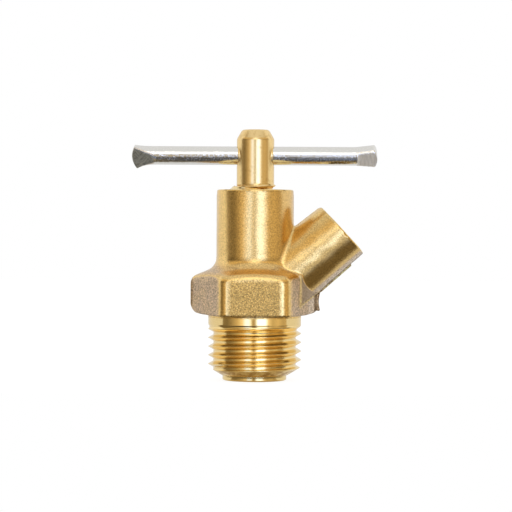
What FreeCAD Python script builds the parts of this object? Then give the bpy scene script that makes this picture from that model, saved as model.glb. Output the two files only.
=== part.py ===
import FreeCAD, Part
import math
import os

os.makedirs("parts", exist_ok=True)
V = FreeCAD.Vector

# All sizes in mm. z = 0 is the hexagon's underside, +Z runs up the spindle and
# +X is the side that the spout leans to.

# Hexagon of the forged body
HEX_FLATS = 19.0
HEX_EDGE_ROUND = 1.1
UNDERSIDE_INSET = 0.7
UNDERSIDE_STEP = 0.75
UNDERSIDE_DEGS = (10.0, 25.0, 38.0)
SHOULDER_TOP_Z = 8.5
SHOULDER_DEG = 22.5
SHOULDER_FILLET = 1.2
RIM_CHAMFER = 0.5
ENVELOPE_MARGIN = 1.0

# Barrel above the hexagon, and the lip staked up round the spindle
BARREL_R = 6.53
BARREL_TOP_Z = 21.66
LIP_R = 4.55
LIP_CREST_R = 3.75
LIP_HIGH = 0.75
LIP_FADE_X = 2.2

# Outlet spout
SPOUT_DEG = 39.7
SPOUT_BASE_Z = 2.42
SPOUT_LENGTH = 19.5
SPOUT_STEP = 1.13
SPOUT_MOUTH_DEG = 43.0
SPOUT_TAPER_DEG = 1.7
SPOUT_FILLET = 0.6
OUTLET_BORE_R = 3.4
OUTLET_BORE_LENGTH = 11.3
OUTLET_PILOT_R = 2.6

# Raised pad on the hexagon under the spout
PAD_HALF_WIDTH = 5.2
PAD_PROUD = 0.3

# Trimmed flash left on the parting line
FLASH_HALF_WIDTH = 0.28
FLASH_PROUD = 0.08
FLASH_CORNER_PROUD = 0.1
FLASH_CORNER_CUT = 0.6
FLASH_ROOT = 0.8
FIN_HALF_WIDTH = 0.35
FIN_PROUD = 0.28
FIN_FROM_MOUTH = 2.6
FIN_RAMP = 0.5

# Male thread M16 x 1.5, kept plain at its major diameter, with its pilot nose
THREAD_R = 8.0
THREAD_END_Z = -8.75
THREAD_CHAMFER_R = 6.3
THREAD_CHAMFER_Z = -10.2
NOSE_R = 5.5
NOSE_END_Z = -11.0
NOSE_CHAMFER = 0.3

# Waterway
INLET_BORE_R = 3.75
INLET_BORE_TOP_Z = -5.0
DRILL_POINT_HALF_DEG = 59.0
ORIFICE_R = 2.0
SEAT_TOP_Z = -1.0
SEAT_HALF_DEG = 45.0
CHAMBER_R = 2.95
CHAMBER_TOP_Z = 14.0

# Spindle, with its M7 x 1 thread kept plain at its major diameter
RUNNING_GAP = 0.05
SEAT_GAP = 0.05
SPINDLE_THREAD_R = 3.5
SPINDLE_THREAD_TOP_Z = 22.5
SPINDLE_THREAD_LOW_Z = 15.2
THREAD_END_CHAMFER = 0.3
SHANK_R = 3.22
SHANK_TOP_Z = 32.05
SHANK_TOP_R = 2.15
SHANK_CHAMFER_HIGH = 1.6
SHANK_EDGE_WIDE = 0.2
SHANK_EDGE_HIGH = 0.4
SHANK_RIM_HIGH = 0.12
LAND_LOW_Z = 8.9
NECK_R = 1.9
HEAD_R = 2.75
HEAD_TOP_Z = 0.4
TIP_R = 1.5
BAR_AXIS_Z = 27.56

# Rubber ring, seated in its groove
GROOVE_LOW_Z = 9.4
GROOVE_WIDTH = 1.45
GROOVE_DEPTH = 1.23
RING_GAP = 0.05
RING_BEVEL = 0.38

# Tommy bar, with both ends pinched
BAR_R = 1.6
BAR_HOLE_GAP = 0.05
BAR_LEFT_X = -21.25
BAR_RIGHT_X = 20.95
FLARE_START = 17.2
LEFT_TURN_DEG = 27.6
LEFT_WIDE = 2.48
LEFT_THICK = 1.5
LEFT_SHIFT = -0.45
LEFT_MIDDLE_X = -19.2
LEFT_MIDDLE_WIDE = 1.74
LEFT_FACET_START_X = -17.3
LEFT_FACET_DEPTH = 1.0
LEFT_FACET_LENGTH = 3.5
LEFT_END_ROUND = 3.6
RIGHT_TURN_DEG = 40.0
RIGHT_WIDE = 2.1
RIGHT_THICK = 1.68
RIGHT_SHIFT = 0.1
RIGHT_FACET_START_X = 17.45
RIGHT_FACET_SLOPE = 0.35
RIGHT_FACET_HEIGHT = 1.15
RIGHT_END_ROUND = 3.4

# Reach of a cutting tool past the metal
REACH = 30.0


def turned(points):
    """Solid of revolution about Z from a closed outline of (radius, height) points.

    A point with a third item is the middle of an arc between its two neighbours.
    """
    corners = [V(p[0], 0, p[1]) for p in points]
    corners.append(corners[0])
    edges = []
    i = 0
    while i < len(points):
        if i + 1 < len(points) and len(points[i + 1]) == 3:
            edges.append(Part.Arc(corners[i], corners[i + 1], corners[i + 2]).toShape())
            i += 2
        else:
            edges.append(Part.makeLine(corners[i], corners[i + 1]))
            i += 1
    return Part.Face(Part.Wire(edges)).revolve(V(0, 0, 0), V(0, 0, 1), 360)


def plate(points, half_width):
    """Flat plate in the XZ plane from (x, z) points."""
    corners = [V(x, -half_width, z) for x, z in points]
    face = Part.Face(Part.makePolygon(corners + corners[:1]))
    return face.extrude(V(0, 2 * half_width, 0))


def hexagon(flats, low, high):
    """Hexagonal prism about Z with corners at plus and minus X."""
    corner = flats / math.sqrt(3)
    ring = []
    for i in range(6):
        turn = math.radians(60 * i)
        ring.append(V(corner * math.cos(turn), corner * math.sin(turn), low))
    face = Part.Face(Part.makePolygon(ring + ring[:1]))
    return face.extrude(V(0, 0, high - low))


def edges_where(shape, test):
    return [e for e in shape.Edges if test(e)]


# Lengths and directions that follow from the sizes above
slope = math.radians(SPOUT_DEG)
spout_dir = V(math.cos(slope), 0, math.sin(slope))
spout_down = V(math.sin(slope), 0, -math.cos(slope))
spout_base = V(0, 0, SPOUT_BASE_Z)
spout_mouth = spout_base + spout_dir * SPOUT_LENGTH
spout_mouth_r = BARREL_R - SPOUT_STEP
spout_taper = math.tan(math.radians(SPOUT_TAPER_DEG))
hex_corner_r = HEX_FLATS / math.sqrt(3)
shoulder_fall = math.tan(math.radians(SHOULDER_DEG))


def spout_radius(along):
    """Outer radius of the spout at a distance along its axis."""
    return spout_mouth_r + (SPOUT_LENGTH - along) * spout_taper


def spout_edge(along, side, proud):
    """Point (x, z) on the spout's outline; side is 1 under the spout and -1 on top."""
    p = spout_base + spout_dir * along + spout_down * (side * (spout_radius(along) + proud))
    return p.x, p.z


def shoulder_z(radius):
    """Height of the shoulder's cone at a radius."""
    return SHOULDER_TOP_Z - (radius - BARREL_R) * shoulder_fall


# Turned envelope: an underside that curves up to the corners, a coned shoulder, and the
# barrel, which runs into the shoulder with a fillet
outer_r = hex_corner_r + ENVELOPE_MARGIN
under_r = HEX_FLATS / 2 - UNDERSIDE_INSET
under_z = 0
underside = [(0, under_z), (under_r, under_z)]
for degrees in UNDERSIDE_DEGS[:-1]:
    under_r += UNDERSIDE_STEP
    under_z += UNDERSIDE_STEP * math.tan(math.radians(degrees))
    underside.append((under_r, under_z))
under_z += (outer_r - under_r) * math.tan(math.radians(UNDERSIDE_DEGS[-1]))
lean = math.radians(SHOULDER_DEG)
fillet_r = BARREL_R + SHOULDER_FILLET
fillet_z = shoulder_z(fillet_r) + SHOULDER_FILLET / math.cos(lean)
half_turn = (math.pi / 2 + lean) / 2
fillet_middle = (
    fillet_r - SHOULDER_FILLET * math.sin(half_turn),
    fillet_z - SHOULDER_FILLET * math.cos(half_turn),
    "arc",
)
fillet_low = (
    fillet_r - SHOULDER_FILLET * math.sin(lean),
    fillet_z - SHOULDER_FILLET * math.cos(lean),
)
envelope = turned(
    underside
    + [
        (outer_r, under_z),
        (outer_r, shoulder_z(outer_r)),
        fillet_low,
        fillet_middle,
        (BARREL_R, fillet_z),
        (BARREL_R, BARREL_TOP_Z),
        (0, BARREL_TOP_Z),
    ]
)

# Hexagon with rounded corners, cut to the envelope, with its upper rim broken
prism = hexagon(HEX_FLATS, 0, BARREL_TOP_Z)
upright = edges_where(prism, lambda e: abs(e.BoundBox.ZLength - BARREL_TOP_Z) < 1e-6)
body = prism.makeFillet(HEX_EDGE_ROUND, upright).common(envelope)


def is_upper_rim(edge):
    """True for the edges where the flats and corners meet the shoulder."""
    middle = edge.valueAt((edge.FirstParameter + edge.LastParameter) / 2)
    radius = math.hypot(middle.x, middle.y)
    return radius > HEX_FLATS / 2 - 1e-3 and abs(middle.z - shoulder_z(radius)) < 1e-3


body = body.makeChamfer(RIM_CHAMFER, edges_where(body, is_upper_rim))

# Spout, tapered towards its mouth, which is faced a little out of square
spout = Part.makeCone(
    spout_radius(0),
    spout_radius(SPOUT_LENGTH + spout_mouth_r),
    SPOUT_LENGTH + spout_mouth_r,
    spout_base,
    spout_dir,
)
mouth_lean = math.radians(SPOUT_MOUTH_DEG)
mouth_out = V(math.cos(mouth_lean), 0, math.sin(mouth_lean))
spout = spout.cut(Part.makeCylinder(REACH, REACH, spout_mouth, mouth_out))

# Barrel carried down into the hexagon, joined to the spout with a small blend
stem_low_z = -THREAD_R / 3
stem = Part.makeCylinder(BARREL_R, BARREL_TOP_Z - stem_low_z, V(0, 0, stem_low_z))
stem = stem.fuse(spout).removeSplitter()


def is_seam(edge):
    """True for the edges where the spout leaves the barrel."""
    box = edge.BoundBox
    middle = edge.valueAt((edge.FirstParameter + edge.LastParameter) / 2)
    on_barrel = abs(math.hypot(middle.x, middle.y) - BARREL_R) < 1e-3
    return on_barrel and middle.x > 0 and stem_low_z < box.ZMin - 0.01 and box.ZMax < BARREL_TOP_Z - 0.01


stem = stem.makeFillet(SPOUT_FILLET, edges_where(stem, is_seam))
body = body.fuse(stem).removeSplitter()

# Raised pad under the spout, as wide as the spout's root
pad = hexagon(HEX_FLATS + 2 * PAD_PROUD, 0, SHOULDER_TOP_Z).common(envelope)
pad_slot = Part.makeBox(REACH, 2 * PAD_HALF_WIDTH, REACH, V(BARREL_R, -PAD_HALF_WIDTH, 0))
pad = pad.common(pad_slot)

# Flash on the parting plane: the hexagon's left corner, the barrel's sides and the spout's edges
flash_r = BARREL_R + FLASH_PROUD
flash_x = hex_corner_r + FLASH_CORNER_PROUD
flash_z = shoulder_z(flash_x)
flash_corner = plate(
    [
        (-BARREL_R, 0),
        (-flash_x, 0),
        (-flash_x, flash_z - FLASH_CORNER_CUT),
        (-flash_x + FLASH_CORNER_CUT, flash_z),
        (-BARREL_R, flash_z),
    ],
    FLASH_HALF_WIDTH,
).common(envelope)
flash_barrel = Part.makeBox(
    2 * flash_r,
    2 * FLASH_HALF_WIDTH,
    BARREL_TOP_Z - FLASH_ROOT - fillet_z,
    V(-flash_r, -FLASH_HALF_WIDTH, fillet_z),
)
flash_top = plate(
    [
        spout_edge(SPOUT_LENGTH / 2, -1, -FLASH_ROOT),
        spout_edge(SPOUT_LENGTH / 2, -1, FLASH_PROUD),
        spout_edge(SPOUT_LENGTH - FLASH_ROOT, -1, FLASH_PROUD),
        spout_edge(SPOUT_LENGTH - FLASH_ROOT, -1, -FLASH_ROOT),
    ],
    FLASH_HALF_WIDTH,
)
fin_end = SPOUT_LENGTH - FIN_FROM_MOUTH
fin_start = HEX_FLATS / 3
fin = plate(
    [
        spout_edge(fin_start, 1, -FLASH_ROOT),
        spout_edge(fin_start, 1, FIN_PROUD),
        spout_edge(fin_end - FIN_RAMP, 1, FIN_PROUD),
        spout_edge(fin_end + FIN_RAMP, 1, -FIN_PROUD),
        spout_edge(fin_end + FIN_RAMP, 1, -FLASH_ROOT),
    ],
    FIN_HALF_WIDTH,
)

# Threaded shank with its end chamfer and pilot nose
shank = turned(
    [
        (0, SHOULDER_TOP_Z / 2),
        (THREAD_R, SHOULDER_TOP_Z / 2),
        (THREAD_R, THREAD_END_Z),
        (THREAD_CHAMFER_R, THREAD_CHAMFER_Z),
        (NOSE_R, THREAD_CHAMFER_Z),
        (NOSE_R, NOSE_END_Z + NOSE_CHAMFER),
        (NOSE_R - NOSE_CHAMFER, NOSE_END_Z),
        (0, NOSE_END_Z),
    ]
)

# Staked lip on the barrel's top, high on the left and gone on the right
lip_top_z = BARREL_TOP_Z + LIP_HIGH
lip = turned(
    [
        (0, BARREL_TOP_Z - 0.5),
        (LIP_R, BARREL_TOP_Z - 0.5),
        (LIP_R, BARREL_TOP_Z),
        (LIP_CREST_R, lip_top_z),
        (0, lip_top_z),
    ]
)
lip_fade = plate(
    [
        (LIP_FADE_X, BARREL_TOP_Z),
        (-LIP_CREST_R, lip_top_z),
        (-LIP_CREST_R, lip_top_z + 2.0),
        (LIP_R + 1.0, lip_top_z + 2.0),
        (LIP_R + 1.0, BARREL_TOP_Z),
    ],
    LIP_R + 1.0,
)
lip = lip.cut(lip_fade)

body = body.multiFuse([pad, flash_corner, flash_barrel, flash_top, fin, shank, lip])
body = body.removeSplitter()

# Waterway: inlet, orifice, conical seat, chamber and the spindle's threaded bore
drill_point = math.tan(math.radians(DRILL_POINT_HALF_DEG))
orifice_low_z = INLET_BORE_TOP_Z + (INLET_BORE_R - ORIFICE_R) / drill_point
seat_fall = math.tan(math.radians(SEAT_HALF_DEG))
seat_low_z = SEAT_TOP_Z - (CHAMBER_R - ORIFICE_R) / seat_fall
bore_r = SPINDLE_THREAD_R + RUNNING_GAP
bore_low_z = CHAMBER_TOP_Z + (bore_r - CHAMBER_R) / drill_point
waterway = turned(
    [
        (0, NOSE_END_Z - 1.0),
        (INLET_BORE_R, NOSE_END_Z - 1.0),
        (INLET_BORE_R, INLET_BORE_TOP_Z),
        (ORIFICE_R, orifice_low_z),
        (ORIFICE_R, seat_low_z),
        (CHAMBER_R, SEAT_TOP_Z),
        (CHAMBER_R, CHAMBER_TOP_Z),
        (bore_r, bore_low_z),
        (bore_r, lip_top_z + 1.0),
        (0, lip_top_z + 1.0),
    ]
)
outlet_start = spout_base + spout_dir * (SPOUT_LENGTH - OUTLET_BORE_LENGTH)
outlet = Part.makeCylinder(OUTLET_BORE_R, OUTLET_BORE_LENGTH + spout_mouth_r, outlet_start, spout_dir)
pilot = Part.makeCylinder(OUTLET_PILOT_R, SPOUT_LENGTH, spout_base, spout_dir)
body = body.cut(waterway.multiFuse([outlet, pilot]))

# Spindle: cone tip, neck, sealed land, thread, shank and cross hole
land_r = CHAMBER_R - RUNNING_GAP
groove_r = land_r - GROOVE_DEPTH
groove_top_z = GROOVE_LOW_Z + GROOVE_WIDTH
seat_back = SEAT_GAP / math.sin(math.radians(SEAT_HALF_DEG))
head_low_z = SEAT_TOP_Z - (CHAMBER_R - seat_back - HEAD_R) / seat_fall
tip_z = SEAT_TOP_Z - (CHAMBER_R - seat_back - TIP_R) / seat_fall
chamfer_low_z = SHANK_TOP_Z - SHANK_CHAMFER_HIGH
spindle = turned(
    [
        (0, tip_z),
        (TIP_R, tip_z),
        (HEAD_R, head_low_z),
        (HEAD_R, HEAD_TOP_Z),
        (NECK_R, HEAD_TOP_Z),
        (NECK_R, LAND_LOW_Z),
        (land_r, LAND_LOW_Z),
        (land_r, GROOVE_LOW_Z),
        (groove_r, GROOVE_LOW_Z),
        (groove_r, groove_top_z),
        (land_r, groove_top_z),
        (land_r, SPINDLE_THREAD_LOW_Z),
        (SPINDLE_THREAD_R, SPINDLE_THREAD_LOW_Z),
        (SPINDLE_THREAD_R, SPINDLE_THREAD_TOP_Z - THREAD_END_CHAMFER),
        (SHANK_R, SPINDLE_THREAD_TOP_Z),
        (SHANK_R, chamfer_low_z),
        (SHANK_R - SHANK_EDGE_WIDE, chamfer_low_z + SHANK_EDGE_HIGH),
        (SHANK_TOP_R + SHANK_EDGE_WIDE, SHANK_TOP_Z - SHANK_RIM_HIGH),
        (SHANK_TOP_R, SHANK_TOP_Z),
        (0, SHANK_TOP_Z),
    ]
)
hole_r = BAR_R + BAR_HOLE_GAP
cross_hole = Part.makeCylinder(hole_r, 4 * SHANK_R, V(-2 * SHANK_R, 0, BAR_AXIS_Z), V(1, 0, 0))
spindle = spindle.cut(cross_hole)

# Rubber ring squeezed between the groove and the chamber wall
ring_low_z = GROOVE_LOW_Z + RING_GAP
ring_top_z = groove_top_z - RING_GAP
ring_in_r = groove_r + RING_GAP
ring_out_r = CHAMBER_R - RING_GAP
seal = turned(
    [
        (ring_in_r, ring_low_z),
        (ring_out_r - RING_BEVEL, ring_low_z),
        (ring_out_r, ring_low_z + RING_BEVEL),
        (ring_out_r, ring_top_z - RING_BEVEL),
        (ring_out_r - RING_BEVEL, ring_top_z),
        (ring_in_r, ring_top_z),
    ]
)


def section(x, turn_deg, wide, thick, shift):
    """Oval outline across the bar at x, turned about the bar's axis."""
    turn = math.radians(turn_deg)
    across = V(0, -math.sin(turn), math.cos(turn))
    press = V(0, -math.cos(turn), -math.sin(turn))
    middle = V(x, 0, BAR_AXIS_Z) + across * shift
    if wide - thick < 1e-6:
        curve = Part.Circle(V(0, 0, 0), V(0, 0, 1), wide)
    else:
        curve = Part.Ellipse(V(0, 0, 0), wide, thick)
    wire = Part.Wire([curve.toShape()])
    turn_to = FreeCAD.Rotation(across, press, across.cross(press), "ZXY")
    wire.Placement = FreeCAD.Placement(middle, turn_to)
    return wire, across, press


# Tommy bar: round rod, then each end spread by a press and cut to the pressed facets
rod = Part.makeCylinder(BAR_R, 2 * FLARE_START, V(-FLARE_START, 0, BAR_AXIS_Z), V(1, 0, 0))

left_root, across, press = section(-FLARE_START, LEFT_TURN_DEG, BAR_R, BAR_R, 0)
left_middle = section(
    LEFT_MIDDLE_X, LEFT_TURN_DEG, LEFT_MIDDLE_WIDE, BAR_R, LEFT_SHIFT / 6
)[0]
left_tip = section(BAR_LEFT_X, LEFT_TURN_DEG, LEFT_WIDE, LEFT_THICK, LEFT_SHIFT)[0]
left_end = Part.makeLoft([left_root, left_middle, left_tip], True)
facet_slope = math.atan2(LEFT_FACET_DEPTH, LEFT_FACET_LENGTH)
for side in (1, -1):
    facet_out = press * (side * math.cos(facet_slope)) + V(-math.sin(facet_slope), 0, 0)
    facet_at = V(LEFT_FACET_START_X, 0, BAR_AXIS_Z) + press * (side * BAR_R)
    left_end = left_end.cut(Part.makeCylinder(REACH, REACH, facet_at, facet_out))
left_arc_x = BAR_LEFT_X + LEFT_END_ROUND
left_waste = Part.makeBox(REACH, REACH, REACH, V(left_arc_x - REACH, -REACH / 2, BAR_AXIS_Z - REACH / 2))
left_keep = Part.makeCylinder(
    LEFT_END_ROUND, REACH, V(left_arc_x, 0, BAR_AXIS_Z) - press * (REACH / 2), press
)
left_end = left_end.cut(left_waste.cut(left_keep))

right_root, across, press = section(FLARE_START, RIGHT_TURN_DEG, BAR_R, BAR_R, 0)
right_tip = section(BAR_RIGHT_X, RIGHT_TURN_DEG, RIGHT_WIDE, RIGHT_THICK, RIGHT_SHIFT)[0]
right_end = Part.makeLoft([right_root, right_tip], True)
for side in (1, -1):
    outline = []
    for x, high in [
        (RIGHT_FACET_START_X, BAR_R + 0.2),
        (RIGHT_FACET_START_X + RIGHT_FACET_SLOPE, RIGHT_FACET_HEIGHT),
        (BAR_RIGHT_X + 1.0, RIGHT_FACET_HEIGHT),
        (BAR_RIGHT_X + 1.0, BAR_R + 2.0),
        (RIGHT_FACET_START_X, BAR_R + 2.0),
    ]:
        outline.append(V(x, 0, BAR_AXIS_Z) + press * (side * high) - across * REACH / 2)
    jaw = Part.Face(Part.makePolygon(outline + outline[:1])).extrude(across * REACH)
    right_end = right_end.cut(jaw)
right_arc_x = BAR_RIGHT_X - RIGHT_END_ROUND
right_waste = Part.makeBox(REACH, REACH, REACH, V(right_arc_x, -REACH / 2, BAR_AXIS_Z - REACH / 2))
right_keep = Part.makeCylinder(
    RIGHT_END_ROUND, REACH, V(right_arc_x, 0, BAR_AXIS_Z) - press * (REACH / 2), press
)
right_end = right_end.cut(right_waste.cut(right_keep))

tommy_bar = rod.multiFuse([left_end, right_end]).removeSplitter()

for name, shape in [
    ("valve_body", body),
    ("spindle", spindle),
    ("spindle_seal", seal),
    ("tommy_bar", tommy_bar),
]:
    if len(shape.Solids) != 1 or not shape.isValid():
        raise RuntimeError(f"{name} has {len(shape.Solids)} solids, valid {shape.isValid()}")
    shape.Solids[0].exportStep(f"parts/{name}.step")
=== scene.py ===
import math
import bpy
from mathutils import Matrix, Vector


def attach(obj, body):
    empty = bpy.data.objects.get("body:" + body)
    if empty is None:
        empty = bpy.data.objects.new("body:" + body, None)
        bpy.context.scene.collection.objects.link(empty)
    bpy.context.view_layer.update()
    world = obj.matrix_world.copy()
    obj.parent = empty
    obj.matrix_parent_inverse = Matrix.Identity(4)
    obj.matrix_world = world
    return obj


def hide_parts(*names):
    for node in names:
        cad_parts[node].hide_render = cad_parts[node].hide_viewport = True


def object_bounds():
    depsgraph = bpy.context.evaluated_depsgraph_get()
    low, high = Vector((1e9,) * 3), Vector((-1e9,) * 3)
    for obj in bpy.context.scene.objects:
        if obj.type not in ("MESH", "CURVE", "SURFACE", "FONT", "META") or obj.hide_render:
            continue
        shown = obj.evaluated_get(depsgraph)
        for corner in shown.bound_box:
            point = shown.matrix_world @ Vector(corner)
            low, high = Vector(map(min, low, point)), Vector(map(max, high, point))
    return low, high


bl_info = {
    "name": "Drain Cock",
    "version": (1, 0, 0),
    "blender": (4, 5, 0),
    "location": "View3D > Sidebar > Drain Cock",
    "description": "Forged brass drain cock with a screw spindle and a sliding tommy bar",
    "category": "Add Mesh",
}

from types import SimpleNamespace

import bmesh
import bpy
import numpy as np
from bpy.props import FloatProperty, FloatVectorProperty, IntProperty, PointerProperty
from mathutils import Matrix

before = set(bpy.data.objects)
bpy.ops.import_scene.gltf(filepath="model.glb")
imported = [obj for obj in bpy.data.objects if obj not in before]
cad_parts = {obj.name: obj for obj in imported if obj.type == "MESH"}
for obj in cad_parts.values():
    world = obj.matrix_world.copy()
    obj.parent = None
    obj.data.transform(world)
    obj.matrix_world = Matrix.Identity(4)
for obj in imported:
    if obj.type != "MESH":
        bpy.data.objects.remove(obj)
cad_box = [list(corner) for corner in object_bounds()]

MM = 0.001
TURN = 2 * math.pi

THREAD_TREE = "screw_thread"
# Distance within which points are merged
MERGE = 0.0005 * MM
# Height in mm from a thread's top up to the meshed form that is stitched to it
SEAM = 0.1

# Jagged lower edge of the trimmed pad in mm: a point on it, its slope, and its teeth's length and depth
TRIM_X = 7.85
TRIM_Z = 1.95
TRIM_SLOPE = 0.68
TOOTH = 0.45
TOOTH_DEEP = 0.2

# Zones of the forging's finish in mm: the spout's radius at its root, the blasted panel's half width and
# top, and where the scaled sides begin
SPOUT_ROOT = 5.8
PANEL_HALF = 4.2
PANEL_TOP = 6.2
SIDE_FROM = 6.2


# Settings that a user may change

def length(name, note, mm):
    """A length property whose default is given in millimetres."""
    return FloatProperty(name=name, description=note, default=mm * MM, unit="LENGTH", precision=6)


def angle(name, note, degrees):
    """An angle property whose default is given in degrees."""
    return FloatProperty(name=name, description=note, default=math.radians(degrees), unit="ROTATION")


def colour(name, note, rgb):
    """A colour property."""
    return FloatVectorProperty(name=name, description=note, default=rgb, min=0, max=1, subtype="COLOR")


def fraction(name, note, value):
    """A property that is a share of a whole."""
    return FloatProperty(name=name, description=note, default=value, min=0, max=1, subtype="FACTOR")


def whole(name, note, value, least):
    """A whole number with a lower limit."""
    return IntProperty(name=name, description=note, default=value, min=least)


def number(name, note, value):
    """A plain number."""
    return FloatProperty(name=name, description=note, default=value)


class BodySizes(bpy.types.PropertyGroup):
    """Sizes of the forged body"""

    grid: length("Mesh step", "Edge of the cubes that the forging is meshed on", 0.225)
    hex_flats: length("Across flats", "Hexagon across its flats", 19.0)
    hex_round: length("Corner round", "Radius of the hexagon's upright corners", 1.1)
    front_round: length("Worn corner round", "Radius of the four corners beside the front and back", 1.9)
    under_z: length("Underside height", "Height of the hexagon's flat underside", 0.25)
    under_inset: length("Underside inset", "Flat underside, in from the flats", 1.1)
    under_step: length("Underside step", "Width of each slope of the underside", 0.95)
    shoulder_z: length("Shoulder height", "Height where the shoulder meets the barrel", 8.5)
    shoulder_fall: angle("Shoulder fall", "Slope of the shoulder", 22.5)
    rim_blend: length("Rim blend", "Width of the soft rim of the hexagon", 1.0)
    foot_blend: length("Foot blend", "Width of the hollow round the barrel's foot", 1.9)
    barrel_r: length("Barrel radius", "Radius of the barrel", 6.53)
    barrel_top: length("Barrel top", "Height of the barrel's faced top", 21.66)
    lip_r: length("Lip radius", "Foot of the lip staked up round the spindle", 4.55)
    lip_crest_r: length("Lip crest radius", "Crest of the staked lip", 3.75)
    lip_high: length("Lip height", "Height of the lip on its high side", 0.75)
    lip_fade_x: length("Lip end", "Where the lip fades out", 2.2)
    spout_lean: angle("Spout rise", "Rise of the spout above level", 39.7)
    spout_base_z: length("Spout base", "Height where the spout's axis meets the spindle's", 2.42)
    spout_length: length("Spout length", "From the spindle's axis to the mouth", 19.5)
    spout_mouth_r: length("Mouth radius", "Outer radius of the spout at its mouth", 5.4)
    spout_taper: angle("Spout taper", "Draft of the spout's outside", 1.7)
    mouth_lean: angle("Mouth rise", "Rise of the mouth's normal above level", 43.0)
    seam_blend: length("Seam blend", "Width of the hollow where the spout leaves the barrel", 1.0)
    outlet_r: length("Outlet bore", "Radius of the outlet bore", 3.4)
    outlet_deep: length("Outlet depth", "Depth of the outlet bore", 11.3)
    pilot_r: length("Pilot bore", "Radius of the hole from the outlet to the chamber", 2.6)
    pad_half: length("Pad half width", "Half width of the raised pad under the spout", 5.8)
    pad_reach: length("Pad reach", "Distance of the pad's face from the axis", 9.875)
    pad_turn: angle("Pad turn", "Turn of the pad's face from the spout's side", 36.5)
    pad_end: length("Pad end", "Where the pad's corner is trimmed", 11.27)
    pad_bite: length("Pad bite", "How far the corner's flash is hollowed", 0.24)
    pad_foot: length("Pad foot", "Lower end of the corner's flash", 0.93)
    pad_top: length("Pad top", "Upper end of the corner's flash", 4.3)
    flash_half: length("Flash half width", "Half width of the trimmed flash", 0.28)
    flash_proud: length("Flash proud", "Height of the trimmed flash", 0.09)
    fin_half: length("Fin half width", "Half width of the fin under the spout", 0.35)
    fin_proud: length("Fin proud", "Height of the fin under the spout", 0.28)
    fin_start: length("Fin start", "Distance of the fin's start along the spout", 9.9)
    fin_from_mouth: length("Fin end", "Distance of the fin's end from the mouth", 2.6)
    chamber_r: length("Chamber radius", "Radius of the valve chamber", 2.95)
    chamber_top: length("Chamber top", "Height of the chamber's top", 14.0)
    spindle_bore_r: length("Spindle bore", "Radius of the spindle's bore", 3.55)
    wave: length("Forging waviness", "Height of the slow waves that forging leaves", 0.018)


class ShankSizes(bpy.types.PropertyGroup):
    """Sizes of the male thread and its bores"""

    thread_r: length("Major radius", "Major radius of the male thread", 8.0)
    pitch: length("Pitch", "Pitch of the male thread", 1.5)
    depth: length("Depth", "Depth of the male thread", 0.9)
    crest_flat: fraction("Crest flat", "Share of the pitch that the crest takes up", 0.0432)
    root_flat: fraction("Root flat", "Share of the pitch that the root takes up", 0.258)
    crest_z: length("Crest height", "Height of a crest on the spout's side", -2.98)
    start_z: length("Thread start", "Height where the groove starts", -1.3)
    full_z: length("Full depth", "Height where the groove is full", -2.7)
    top_z: length("Neck", "Height where the turned shank meets the forging", -0.45)
    end_z: length("Chamfer start", "Height where the end chamfer starts", -8.75)
    chamfer_r: length("Chamfer radius", "Radius at the end of the chamfer", 5.75)
    chamfer_z: length("Chamfer end", "Height of the chamfer's end", -10.1)
    nose_r: length("Nose radius", "Radius of the pilot nose", 5.5)
    nose_z: length("Nose end", "Height of the nose's end", -11.0)
    nose_break: length("Nose edge", "Break of the nose's inner and outer edges", 0.15)
    inlet_r: length("Inlet bore", "Radius of the inlet bore", 3.75)
    inlet_top: length("Inlet depth", "Height of the inlet bore's end", -5.0)
    orifice_r: length("Orifice", "Radius of the orifice", 2.0)
    orifice_low: length("Orifice start", "Height of the orifice's lower end", -3.95)
    seat_low: length("Seat start", "Height of the seat's lower edge", -1.95)
    seat_top: length("Seat end", "Height of the seat's upper edge", -1.0)
    segments: whole("Segments", "Segments round the shank", 144, 24)
    rows: whole("Rows", "Rows in each turn of the thread", 28, 8)


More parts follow.
